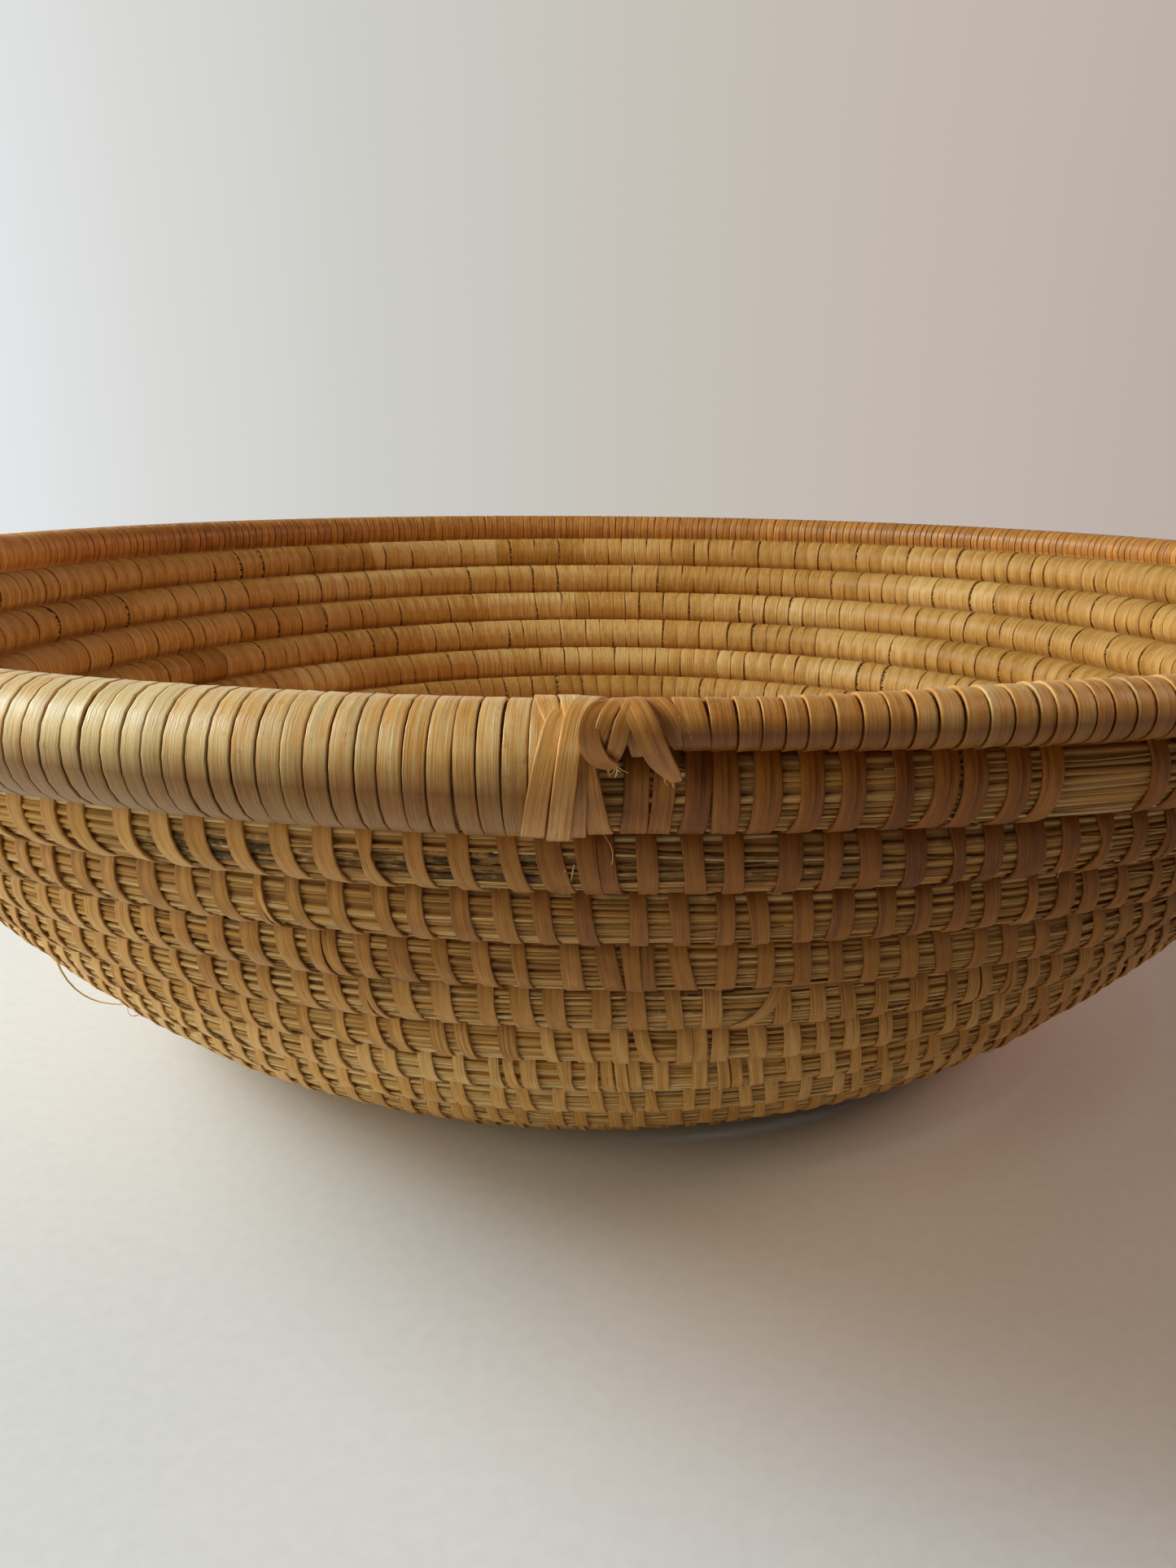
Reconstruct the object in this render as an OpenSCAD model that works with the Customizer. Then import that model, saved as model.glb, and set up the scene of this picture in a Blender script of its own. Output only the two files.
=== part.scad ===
// Coiled fruit basket: one long bundle of stems wound into a spiral, bound turn
// to turn with flat strips, and finished with a wrapped rim and a knot.
// Z is up, the underside stands on z = 0 and the knot faces -Y.

/* [Coil] */
// Distance from one turn of the coil to the next
coil_pitch = 12.5; // [11:0.5:15]
// Thickness of a binding strip
strip_thickness = 0.35; // [0.25:0.05:0.45]
// Clear gap between neighbouring turns, strips included
turn_gap = 0.3; // [0.2:0.05:0.5]

/* [Bowl] */
// Turns from the centre to where the wall starts to rise
flat_turns = 7.2; // [7:0.1:7.4]
// Slope of the upper wall above the horizontal, in degrees
wall_slope = 52.5; // [45:0.5:58]
// How many turns the curve from base to wall is spread over
bend_turns = 1.83; // [1.5:0.01:2.3]
// Share of the strip thickness worn off flat under the base
wear_share = 0.85; // [0.5:0.05:0.95]

/* [Rim] */
// Diameter of the wrapped rim where it starts, left of the knot
rim_start_d = 15.1; // [14:0.1:16]
// Diameter of the wrapped rim where it ends, right of the knot
rim_end_d = 6.6; // [6:0.1:8]

/* [Knot] */
// Width of a lashing strip
lash_width = 2.6; // [2:0.1:3]
// Clear gap between one layer of lashing and the next
lash_gap = 0.2; // [0.15:0.05:0.3]

/* [Hidden] */

base_count = 7;
wall_count = 10;
// A turn starts and ends at the knot, this far past a whole number of turns
knot_phase = 0.7;
wrap_r = (coil_pitch - turn_gap) / 2;
core_r = wrap_r - strip_thickness;
base_z = wrap_r - wear_share * strip_thickness;
seam_step = 0.03;
tube_fn = 48;
ring_fn = 180;

stem_colour = "#cda765";
stitch_colour = "#b98a4e";
rim_colour = "#d8b878";

// ---- section of the bowl ----

// Slope above the horizontal at n turns from the centre
function slope(n) = n <= flat_turns ? 0
    : wall_slope * (1 - exp((flat_turns - n) / bend_turns));

// The slope is summed outwards in short steps: rows of [turns, radius, height]
profile_step = 0.05;
profile_length = 13;
function run(w) = coil_pitch * profile_step * cos(slope(flat_turns + w + profile_step / 2));
function rise(w) = coil_pitch * profile_step * sin(slope(flat_turns + w + profile_step / 2));
profile = [
    for (w = 0, r = flat_turns * coil_pitch, z = base_z;
         w <= profile_length;
         r = r + run(w), z = z + rise(w), w = w + profile_step)
    [flat_turns + w, r, z]
];
radius_table = concat([[0, 0]], [for (row = profile) [row[0], row[1]]]);
height_table = concat([[0, base_z]], [for (row = profile) [row[0], row[2]]]);
function radius_at(n) = lookup(n, radius_table);
function height_at(n) = lookup(n, height_table);

// ---- body coil ----

// Section of the tube. The underside of a worn one is flat, and it stands on z = 0.
module tube_section(outer_r, inner_r, worn) {
    difference() {
        circle(r = outer_r, $fn = tube_fn);
        if (inner_r > 0) circle(r = inner_r, $fn = tube_fn);
        if (worn) translate([-coil_pitch, -base_z - coil_pitch])
            square([2 * coil_pitch, coil_pitch]);
    }
}

// Half a turn of tube between a front (-Y) and a back (+Y) point of the bowl's
// section. Its end faces lie in the plane x = 0, so half turns meet face to face.
module half_turn(front_n, back_n, on_left) {
    front = [radius_at(front_n), height_at(front_n)];
    back = [radius_at(back_n), height_at(back_n)];
    across = [front[0] + back[0], back[1] - front[1]];
    translate([0, (back[0] - front[0]) / 2, (front[1] + back[1]) / 2])
    rotate([atan2(across[1], across[0]), 0, on_left ? 90 : -90])
    rotate_extrude(angle = 180, $fn = ring_fn)
    translate([norm(across) / 2, 0])
    children();
}

// One turn of the spiral: out along the left side and back along the right. The
// way back is a hair slimmer, so that the halves join in one clean step.
module turn(index, outer_r, inner_r, worn) {
    n = index - 1 + knot_phase;
    half_turn(n, n + 0.5, true) tube_section(outer_r, inner_r, worn);
    half_turn(n + 1, n + 0.5, false)
        tube_section(outer_r - seam_step, max(0, inner_r - seam_step), worn);
}

module body_coil(index) {
    color(stem_colour) turn(index, core_r, 0, false);
}

module body_stitching(index) {
    color(stitch_colour) turn(index, wrap_r, core_r, index <= base_count);
}

// The curled start of the bundle, which fills the eye of the spiral
module start_button() {
    first_r = radius_at(knot_phase);
    eye_y = (radius_at(knot_phase + 0.5) - first_r) / 2;
    curl_r = eye_y + first_r - wrap_r - turn_gap;
    color(stitch_colour) translate([0, 0, base_z]) {
        translate([0, (eye_y - first_r) / 2, 0])
        rotate([0, 0, -90])
        rotate_extrude(angle = 180, $fn = ring_fn)
        translate([(eye_y + first_r) / 2, 0]) circle(r = curl_r, $fn = tube_fn);
        translate([0, eye_y, 0]) sphere(r = curl_r, $fn = tube_fn);
    }
}

// ---- rim ----

rim_steps = 60;
rim_sides = 16;
rim_foot = base_count + wall_count - 1 + knot_phase + 0.5;

// t runs once round the basket, from 0 at the thick end to 1 at the thin end
function rim_radius(t) = (rim_start_d + (rim_end_d - rim_start_d) * t) / 2;
function rim_n(t) = rim_foot + t + (rim_radius(t) + turn_gap / 2) / coil_pitch;
// The seat rises as the half turns below it do, level at the front and the back
function seat_rise(u) = (floor(2 * u) + (1 - cos(180 * (2 * u - floor(2 * u)))) / 2) / 2;
function rim_point(u, a, inset) =
    let (t = seat_rise(u),
         r = rim_radius(t) - inset,
         out = radius_at(rim_n(t)) + r * cos(a),
         around = 270 - 360 * u)
    [out * cos(around), out * sin(around), height_at(rim_n(t)) + r * sin(a)];
function rim_skin(inset) = [
    for (i = [0 : rim_steps], j = [0 : rim_sides - 1])
    rim_point(i / rim_steps, 360 * j / rim_sides, inset)
];
function side_faces(first) = [
    for (i = [0 : rim_steps - 1], j = [0 : rim_sides - 1])
    let (a = first + i * rim_sides, k = (j + 1) % rim_sides)
    [a + j, a + rim_sides + j, a + rim_sides + k, a + k]
];
function end_faces(outer, inner) = [
    for (j = [0 : rim_sides - 1])
    let (k = (j + 1) % rim_sides)
    [outer + j, outer + k, inner + k, inner + j]
];
function flipped(faces) = [for (f = faces) [f[3], f[2], f[1], f[0]]];

module rim_coil() {
    last = rim_steps * rim_sides;
    color(stem_colour) polyhedron(
        points = rim_skin(strip_thickness),
        faces = concat(
            side_faces(0),
            [[for (j = [0 : rim_sides - 1]) j]],
            [[for (j = [rim_sides - 1 : -1 : 0]) last + j]]));
}

module rim_wrapping() {
    last = rim_steps * rim_sides;
    inside = last + rim_sides;
    color(rim_colour) polyhedron(
        points = concat(rim_skin(0), rim_skin(strip_thickness)),
        faces = concat(
            side_faces(0),
            flipped(side_faces(inside)),
            end_faces(0, inside),
            flipped(end_faces(last, inside + last))));
}

// ---- finishing knot ----

lash_step = strip_thickness + lash_gap;
thick_end_r = rim_start_d / 2 + lash_gap;
thin_end_r = rim_end_d / 2 + lash_gap;

// A strip bent round a tube that lies along X. Angles go round the tube, 0 at
// the front and 90 on top, and lean tips the top of the strip towards +X.
module bent_strip(centre_n, r, x, lean, from, to, width) {
    color(rim_colour)
    translate([x, -radius_at(centre_n), height_at(centre_n)])
    rotate([0, lean, 0])
    rotate([90, 0, -90])
    rotate([0, 0, from])
    rotate_extrude(angle = to - from, $fn = ring_fn)
    translate([r, -width / 2]) square([strip_thickness, width]);
}

module knot_long_lash_left() {
    bent_strip(rim_n(0), thick_end_r, -3.6, 16, -80, 110, lash_width);
}
module knot_long_lash_middle() {
    bent_strip(rim_n(0), thick_end_r + lash_step, -1.9, 8, -80, 105, lash_width);
}
module knot_short_lash_right() {
    bent_strip(rim_n(0), thick_end_r, 1.7, -5, -75, 18, lash_width - 0.4);
}
module knot_cross_strip_lower() {
    bent_strip(rim_n(1), thin_end_r, 3.2, 30, -60, 130, lash_width - 0.8);
}
module knot_cross_strip_upper() {
    bent_strip(rim_n(1), thin_end_r + lash_step, 3.2, -30, -60, 130, lash_width - 0.8);
}
module knot_tail_strip() {
    bent_strip(rim_n(1), thin_end_r + 2 * lash_step, 6.3, -40, -75, 110, lash_width);
}

start_button();
for (i = [1 : base_count]) {
    body_coil(i);
    body_stitching(i);
}
for (i = [1 : wall_count]) {
    body_coil(base_count + i);
    body_stitching(base_count + i);
}
rim_coil();
rim_wrapping();
knot_long_lash_left();
knot_long_lash_middle();
knot_short_lash_right();
knot_cross_strip_lower();
knot_cross_strip_upper();
knot_tail_strip();
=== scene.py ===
import math

import bpy
import numpy as np
from mathutils import Matrix, Vector


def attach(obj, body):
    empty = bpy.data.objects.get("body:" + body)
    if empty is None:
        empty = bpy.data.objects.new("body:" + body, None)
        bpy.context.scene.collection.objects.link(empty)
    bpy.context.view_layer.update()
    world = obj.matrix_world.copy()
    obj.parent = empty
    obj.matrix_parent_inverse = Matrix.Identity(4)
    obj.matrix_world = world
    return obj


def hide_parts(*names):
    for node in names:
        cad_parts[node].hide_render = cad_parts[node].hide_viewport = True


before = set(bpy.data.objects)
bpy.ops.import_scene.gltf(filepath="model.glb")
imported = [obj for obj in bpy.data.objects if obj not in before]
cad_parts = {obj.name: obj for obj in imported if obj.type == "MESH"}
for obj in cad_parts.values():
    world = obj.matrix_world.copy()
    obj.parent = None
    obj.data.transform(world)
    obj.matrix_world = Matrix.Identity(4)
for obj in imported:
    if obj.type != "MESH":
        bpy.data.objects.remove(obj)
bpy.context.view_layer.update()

# The coiled basket is one long spiral. A place on it is u, in turns from the
# knot, so turn i runs from u = i - 1 to u = i. Lengths are in millimetres here
# and meshes are made in metres. These sizes are the same as in the CAD model.
MM = 0.001
# Distance from one turn to the next, and the clear gap between them
PITCH = 12.5
TURN_GAP = 0.3
# Thickness of a strip, and the radius of the coil with its stitches and without
STRIP = 0.35
WRAP_R = (PITCH - TURN_GAP) / 2
CORE_R = WRAP_R - STRIP
# Height of the flat base's middle line, where 85 per cent of the strip is worn off
BASE_Z = WRAP_R - 0.85 * STRIP
# The wall rises after this many turns, to this slope, over about this many turns
FLAT_TURNS = 7.2
WALL_SLOPE = math.radians(52.5)
BEND_TURNS = 1.83
# The knot is this far past a whole number of turns
PHASE = 0.7
# Before the first turn the bundle curls into the eye of the spiral, by this share of a turn
EYE = 0.6
# How many turns make the base, and how many there are in all
BASE_COUNT = 7
TURNS = 17
# Where the rim sits, in turns from the centre, and its diameter at both ends
RIM_FOOT = TURNS - 1 + PHASE + 0.5
RIM_START_D = 15.1
RIM_END_D = 6.6

rng = np.random.default_rng(20)

# ---- the bowl's profile ----


def slope(n):
    """Slope above the horizontal at n turns from the centre."""
    return np.where(n > FLAT_TURNS, WALL_SLOPE * (1 - np.exp((FLAT_TURNS - n) / BEND_TURNS)), 0.0)


# The slope is summed outwards in short steps to give the profile's radius and height
PROFILE_STEP = 0.01
profile_n = np.arange(0, 21, PROFILE_STEP)
step_slope = slope(profile_n[:-1] + PROFILE_STEP / 2)
profile_r = np.concatenate([[0], np.cumsum(np.cos(step_slope))]) * PROFILE_STEP * PITCH
profile_z = np.concatenate([[0], np.cumsum(np.sin(step_slope))]) * PROFILE_STEP * PITCH + BASE_Z


def radius_at(n):
    return np.interp(n, profile_n, profile_r)


def height_at(n):
    return np.interp(n, profile_n, profile_z)


def on_circle(u, out, up):
    """The point at azimuth u, this far from the axis and this high."""
    a = 2 * math.pi * u
    return np.stack(np.broadcast_arrays(-np.sin(a) * out, -np.cos(a) * out, up), axis=-1)


def tube_frame(u, psi):
    """Centre, outward normal and sideways direction on the coil; psi 0 is the outer face,
    90 degrees faces the next turn and 180 is inside."""
    n = u + PHASE
    e = slope(n)
    centre = on_circle(u, radius_at(n), height_at(n))
    out = np.cos(psi) * np.sin(e) + np.sin(psi) * np.cos(e)
    up = -np.cos(psi) * np.cos(e) + np.sin(psi) * np.sin(e)
    normal = on_circle(u, out, up)
    a = 2 * math.pi * u
    side = np.stack(np.broadcast_arrays(-np.cos(a), np.sin(a), 0 * a), axis=-1)
    side = np.broadcast_to(side, normal.shape)
    return centre, normal, side


# Distance along the spiral, to space stitches evenly
TRACK_STEP = 0.002
track_u = np.arange(-EYE, TURNS + 1.2, TRACK_STEP)
track_step = 2 * math.pi * radius_at(track_u[:-1] + TRACK_STEP / 2 + PHASE) * TRACK_STEP
track_s = np.concatenate([[0], np.cumsum(track_step)])
track_s -= np.interp(0, track_u, track_s)


def along(u):
    return np.interp(u, track_u, track_s)


def at_length(s):
    return np.interp(s, track_s, track_u)


# ---- meshes ----


def make_mesh(name, verts, quads, attributes, material):
    """An object of four-sided faces, which rides the basket's one body."""
    mesh = bpy.data.meshes.new(name)
    verts = np.ascontiguousarray(verts, dtype=np.float32)
    quads = np.ascontiguousarray(quads, dtype=np.int32)
    mesh.vertices.add(len(verts))
    mesh.vertices.foreach_set("co", (verts * MM).ravel())
    mesh.loops.add(quads.size)
    mesh.loops.foreach_set("vertex_index", quads.ravel())
    mesh.polygons.add(len(quads))
    mesh.polygons.foreach_set("loop_start", np.arange(0, quads.size, 4, dtype=np.int32))
    mesh.polygons.foreach_set("use_smooth", np.ones(len(quads), dtype=bool))
    mesh.update(calc_edges=True)
    for key, values in attributes.items():
        layer = mesh.attributes.new(key, "FLOAT_VECTOR", "POINT")
        layer.data.foreach_set("vector", np.ascontiguousarray(values, dtype=np.float32).ravel())
    mesh.materials.append(material)
    piece = bpy.data.objects.new(name, mesh)
    bpy.context.scene.collection.objects.link(piece)
    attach(piece, "root")
    return piece


# Cross-section of a flat strip with eased edges: across, and up from its back
SECTION = np.array([[-0.97, -0.1], [-1.0, 0.60], [-0.95, 0.93], [-0.85, 1.0], [-0.45, 1.0],
                    [0.45, 1.0], [0.85, 1.0], [0.95, 0.93], [1.0, 0.60], [0.97, -0.1]])
CAP = np.array([[0, 1, 2, 3], [0, 3, 4, 5], [0, 5, 6, 9], [6, 7, 8, 9]])


class Batch:
    """Gathers many parts of one mesh. Each point carries two vectors for the materials: strip,
    which is millimetres across and along a strip or stem and its seed, and look, which is tone,
    then the place across a strip or how weathered a stem is, then shade."""

    def __init__(self):
        self.verts, self.quads, self.strip, self.look, self.count = [], [], [], [], 0

    def add(self, verts, quads, strip, look):
        self.verts.append(verts.reshape(-1, 3))
        self.quads.append(quads.reshape(-1, 4) + self.count)
        self.strip.append(strip.reshape(-1, 3))
        self.look.append(look.reshape(-1, 3))
        self.count += len(self.verts[-1])

    def object(self, name, material):
        verts = np.concatenate(self.verts)
        verts[:, 2] = np.maximum(verts[:, 2], 0.0)
        return make_mesh(name, verts, np.concatenate(self.quads),
                         {"strip": np.concatenate(self.strip), "look": np.concatenate(self.look)},
                         material)


def ring_quads(steps, sides):
    """Faces of a tube whose points run round the section first, then along it."""
    i, k = np.meshgrid(np.arange(steps), np.arange(sides), indexing="ij")
    here, there = i * sides, (i + 1) * sides
    after = (k + 1) % sides
    return np.stack([here + k, here + after, there + after, there + k], axis=-1)


def path_length(points):
    """Distance from the start of each path, for (paths, steps, 3) points."""
    step = np.linalg.norm(np.diff(points, axis=1), axis=-1)
    return np.concatenate([np.zeros((len(points), 1)), np.cumsum(step, axis=1)], axis=1)


def sweep(batch, points, normal, side, half, thick, tone, seed, shade, roll=0.0):
    """Flat strips swept along paths. points, normal and side are (strips, steps, 3); half, thick
    and shade are (strips, steps); tone, seed and roll are one per strip."""
    count, steps = points.shape[:2]
    corners = len(SECTION)
    across, height = SECTION[:, 0], SECTION[:, 1]
    tip = np.asarray(roll)[..., None, None] * across * np.ones((count, steps, 1))
    lift = thick[:, :, None] * height + tip * (height > 0)
    verts = (points[:, :, None, :]
             + side[:, :, None, :] * (half[:, :, None] * across)[..., None]
             + normal[:, :, None, :] * lift[..., None])
    i, j, k = np.meshgrid(np.arange(count), np.arange(steps - 1), np.arange(corners), indexing="ij")
    here = (i * steps + j) * corners
    there = here + corners
    after = (k + 1) % corners
    quads = np.stack([here + k, there + k, there + after, here + after], axis=-1)
    first = (np.arange(count) * steps * corners)[:, None, None]
    caps = np.concatenate([first + CAP[:, ::-1], first + (steps - 1) * corners + CAP], axis=1)
    quads = np.concatenate([quads.reshape(-1, 4), caps.reshape(-1, 4)])
    run = path_length(points)
    every = np.ones((count, steps, corners))
    strip = np.stack(np.broadcast_arrays(half[:, :, None] * across, run[:, :, None],
                                         np.asarray(seed)[:, None, None] * every), axis=-1)
    look = np.stack(np.broadcast_arrays(np.asarray(tone)[:, None, None] * every,
                                        across * every, shade[:, :, None] * every), axis=-1)
    batch.add(verts, quads, strip, look)


def tubes(batch, points, normal, side, radius, tone, seed, shade, old=0.0, sides=6):
    """Round stems swept along paths. points, normal and side are (stems, steps, 3); radius,
    tone, shade and old, which is how weathered the stem is, are (stems, steps)."""
    count, steps = points.shape[:2]
    angle = np.arange(sides) * 2 * math.pi / sides
    spoke = (normal[:, :, None, :] * np.cos(angle)[:, None]
             + side[:, :, None, :] * np.sin(angle)[:, None])
    verts = points[:, :, None, :] + radius[:, :, None, None] * spoke
    i, j, k = np.meshgrid(np.arange(count), np.arange(steps - 1), np.arange(sides), indexing="ij")
    here = (i * steps + j) * sides
    there = here + sides
    after = (k + 1) % sides
    quads = np.stack([here + k, here + after, there + after, there + k], axis=-1)
    run = path_length(points)
    every = np.ones((count, steps, sides))
    girth = radius[:, :, None] * np.minimum(angle, 2 * math.pi - angle)
    strip = np.stack(np.broadcast_arrays(girth, run[:, :, None],
                                         np.asarray(seed)[:, None, None] * every), axis=-1)
    old = np.broadcast_to(np.asarray(old), (count, steps))
    look = np.stack(np.broadcast_arrays(tone[:, :, None] * every, old[:, :, None] * every,
                                        shade[:, :, None] * every), axis=-1)
    batch.add(verts, quads, strip, look)


# ---- materials ----


class Nodes:
    """A material and short ways to build its node tree."""

    def __init__(self, name):
        self.material = bpy.data.materials.new(name)
        self.material.use_nodes = True
        self.tree = self.material.node_tree
        self.bsdf = self.tree.nodes["Principled BSDF"]

    def new(self, kind, **settings):
        node = self.tree.nodes.new(kind)
        for key, value in settings.items():
            setattr(node, key, value)
        return node

    def link(self, a, b):
        self.tree.links.new(a, b)

    def attribute(self, name):
        node = self.new("ShaderNodeAttribute", attribute_name=name)
        return node.outputs["Vector"]

    def split(self, vector):
        node = self.new("ShaderNodeSeparateXYZ")
        self.link(vector, node.inputs[0])
        return node.outputs

    def put(self, socket, value):
        if isinstance(value, (int, float, tuple)):
            socket.default_value = value
        else:
            self.link(value, socket)

    def math(self, op, a, b=0.0, c=0.0, clamp=False):
        node = self.new("ShaderNodeMath", operation=op, use_clamp=clamp)
        for socket, value in zip(node.inputs, (a, b, c)):
            self.put(socket, value)
        return node.outputs[0]

    def scaled(self, vector, by):
        node = self.new("ShaderNodeVectorMath", operation="MULTIPLY")
        self.link(vector, node.inputs[0])
        node.inputs[1].default_value = by
        return node.outputs[0]

    def noise(self, vector, scale, detail=3.0, rough=0.5):
        node = self.new("ShaderNodeTexNoise")
        self.link(vector, node.inputs["Vector"])
        node.inputs["Scale"].default_value = scale
        node.inputs["Detail"].default_value = detail
        node.inputs["Roughness"].default_value = rough
        return node.outputs["Fac"]

    def ramp(self, value, stops):
        node = self.new("ShaderNodeValToRGB")
        self.put(node.inputs[0], value)
        ends = node.color_ramp.elements
        while len(ends) < len(stops):
            ends.new(0.5)
        for e, (at, colour) in zip(ends, stops):
            e.position = at
            e.color = colour if len(colour) == 4 else (*colour, 1)
        return node.outputs[0]

    def mix(self, how, factor, a, b):
        node = self.new("ShaderNodeMix", data_type="RGBA", blend_type=how)
        self.put(node.inputs["Factor"], factor)
        self.put(node.inputs["A"], a)
        self.put(node.inputs["B"], b)
        return node.outputs["Result"]

    def span(self, value, low, high, to_low, to_high):
        node = self.new("ShaderNodeMapRange", clamp=True)
        for socket, v in zip(node.inputs, (value, low, high, to_low, to_high)):
            self.put(socket, v)
        return node.outputs[0]

    def around(self, value, amount):
        """The value less a half, times the amount, to add to a tone."""
        return self.math("MULTIPLY", self.math("SUBTRACT", value, 0.5), amount)

    def surface(self, colour, roughness, ior, specular):
        self.link(colour, self.bsdf.inputs["Base Color"])
        self.link(roughness, self.bsdf.inputs["Roughness"])
        self.bsdf.inputs["IOR"].default_value = ior
        self.bsdf.inputs["Specular IOR Level"].default_value = specular

    def bump(self, height, strength, distance):
        node = self.new("ShaderNodeBump")
        node.inputs["Strength"].default_value = strength
        node.inputs["Distance"].default_value = distance
        self.link(height, node.inputs["Height"])
        self.link(node.outputs[0], self.bsdf.inputs["Normal"])


def grey(v):
    return (v, v, v, 1)


def strip_material(name, stops, gloss, contrast, fibre_dark, edge_dark, shade_colour, specular):
    """A flat strip of dry leaf: long fibres, stains, darker cut edges and satin gloss."""
    m = Nodes(name)
    strip, look = m.attribute("strip"), m.attribute("look")
    tone, across, shade = m.split(look)
    coarse = m.noise(m.scaled(strip, (1.6, 0.05, 7.31)), 1.0, 4, 0.6)
    fibre = m.noise(m.scaled(strip, (7.0, 0.10, 3.17)), 1.0, 3, 0.65)
    blot = m.noise(m.scaled(strip, (0.35, 0.22, 5.77)), 1.0, 4, 0.6)
    value = m.math("ADD", tone, m.around(coarse, 0.55 * contrast))
    value = m.math("ADD", value, m.around(blot, 0.45 * contrast), clamp=True)
    colour = m.ramp(value, stops)
    lines = m.ramp(fibre, [(0.36, grey(fibre_dark)), (0.5, grey(1.0)), (0.64, grey(1.10))])
    colour = m.mix("MULTIPLY", 1.0, colour, lines)
    stain = m.noise(m.scaled(strip, (0.8, 0.5, 9.13)), 1.0, 5, 0.7)
    colour = m.mix("MULTIPLY", m.span(stain, 0.60, 0.72, 0.0, 0.55), colour, (0.62, 0.42, 0.25, 1))
    edge = m.span(m.math("ABSOLUTE", across), 0.84, 1.0, 0.0, edge_dark)
    colour = m.mix("MULTIPLY", edge, colour, (0.50, 0.36, 0.22, 1))
    colour = m.mix("MULTIPLY", shade, colour, shade_colour)
    m.surface(colour, m.span(coarse, 0.3, 0.7, gloss - 0.06, gloss + 0.14), 1.48, specular)
    m.bump(m.math("ADD", fibre, m.math("MULTIPLY", coarse, 0.8)), 0.55, 0.00012)
    return m.material


def stem_material(name):
    """Loose dry stems: golden to grey, ribbed along their length, weathered black in places."""
    m = Nodes(name)
    strip, look = m.attribute("strip"), m.attribute("look")
    tone, weather, shade = m.split(look)
    length = m.noise(m.scaled(strip, (0.15, 0.035, 11.7)), 1.0, 3, 0.55)
    rib = m.noise(m.scaled(strip, (6.0, 0.06, 4.41)), 1.0, 3, 0.6)
    value = m.math("ADD", tone, m.around(length, 0.9), clamp=True)
    colour = m.ramp(value, [(0.0, (0.24, 0.105, 0.028)), (0.25, (0.42, 0.215, 0.066)),
                            (0.5, (0.59, 0.310, 0.078)), (0.75, (0.72, 0.42, 0.125)),
                            (1.0, (0.84, 0.59, 0.26))])
    ribs = m.ramp(rib, [(0.36, grey(0.62)), (0.5, grey(0.97)), (0.64, grey(1.12))])
    colour = m.mix("MULTIPLY", 1.0, colour, ribs)
    speck = m.noise(m.scaled(strip, (1.3, 0.45, 8.3)), 1.0, 6, 0.75)
    rot = m.math("MULTIPLY", m.span(speck, 0.41, 0.52, 0.0, 0.95), weather)
    colour = m.mix("MIX", rot, colour, (0.035, 0.028, 0.022, 1))
    pale = m.math("MULTIPLY", m.span(speck, 0.40, 0.30, 0.0, 0.7), weather)
    colour = m.mix("MIX", pale, colour, (0.50, 0.46, 0.38, 1))
    colour = m.mix("MULTIPLY", shade, colour, (0.42, 0.235, 0.105, 1))
    m.surface(colour, m.span(rib, 0.3, 0.7, 0.42, 0.62), 1.45, 0.25)
    pits = m.math("MULTIPLY", m.math("MULTIPLY", speck, weather), 1.5)
    m.bump(m.math("ADD", rib, pits), 0.8, 0.0002)
    return m.material


stitch_look = strip_material(
    "stitch_strip",
    stops=[(0.0, (0.31, 0.120, 0.018)), (0.3, (0.50, 0.235, 0.043)), (0.6, (0.68, 0.360, 0.095)),
           (1.0, (0.85, 0.56, 0.22))],
    gloss=0.44, contrast=1.6, fibre_dark=0.60, edge_dark=0.45, shade_colour=(0.46, 0.275, 0.085, 1),
    specular=0.28)
rim_look = strip_material(
    "rim_strip",
    stops=[(0.0, (0.43, 0.172, 0.040)), (0.35, (0.71, 0.305, 0.065)), (0.65, (0.88, 0.450, 0.125)),
           (1.0, (0.97, 0.70, 0.33))],
    gloss=0.32, contrast=1.7, fibre_dark=0.70, edge_dark=0.38, shade_colour=(0.28, 0.180, 0.048, 1),
    specular=0.36)
stem_look = stem_material("dry_stem")

# ---- the bundle of stems ----

STEMS = 46
# Radius of the ring that the stems stand on, where they overlap by 6 per cent
STEM_RING = 5.05
STEM_OVERLAP = 1.06
stem_phase = rng.uniform(0, 2 * math.pi, (STEMS, 4))
stem_tone = rng.uniform(0.22, 0.92, STEMS)
# Stems of mixed thickness stand side by side round the bundle
stem_size = rng.uniform(0.34, 0.86, STEMS)
stem_size *= STEM_OVERLAP * math.pi * STEM_RING / stem_size.sum()
stem_psi = (2 * np.cumsum(stem_size) - stem_size) / (2 * stem_size.sum()) * 2 * math.pi
# How far apart the rings of a stem's mesh are
STEM_STEP = 6.5
# How strongly painted shade darkens the top rows of stems and stitches, and the cosine of psi past which
# it starts
STEM_PAINTED_SHADE = 0.45
STITCH_PAINTED_SHADE = 0.75
OUTSIDE = -0.2
# The heart of the bundle, which shows between stems, darkened with painted shade
HEART_R = CORE_R - 0.30
HEART_SIDES = 12
# Patches of the top row that have weathered black: middle, spread and strength
WEATHERED = [(16.012, 0.012, 1.3), (16.040, 0.010, 1.0), (15.982, 0.012, 0.6)]


def painted_top_shade(u):
    """How much painted shade darkens the outside: most on the top rows, from the knot round to the
    right, and not at all low down."""
    row = np.clip((u - 11.0) / 3.6, 0, 1)
    top = np.clip((u - 15.8) / 0.2, 0, 1)
    side = np.clip(0.85 + 0.10 * top - (2.0 + 1.2 * top) * np.sin(2 * math.pi * u), 0, 1 + 0.2 * top)
    return row * side


def painted_low_light(u):
    """Painted light that makes the lower rows paler: 1 on the base and the lower wall, fading to 0
    further up.
    """
    return np.clip((13.5 - u) / 2.5, 0, 1)


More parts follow.
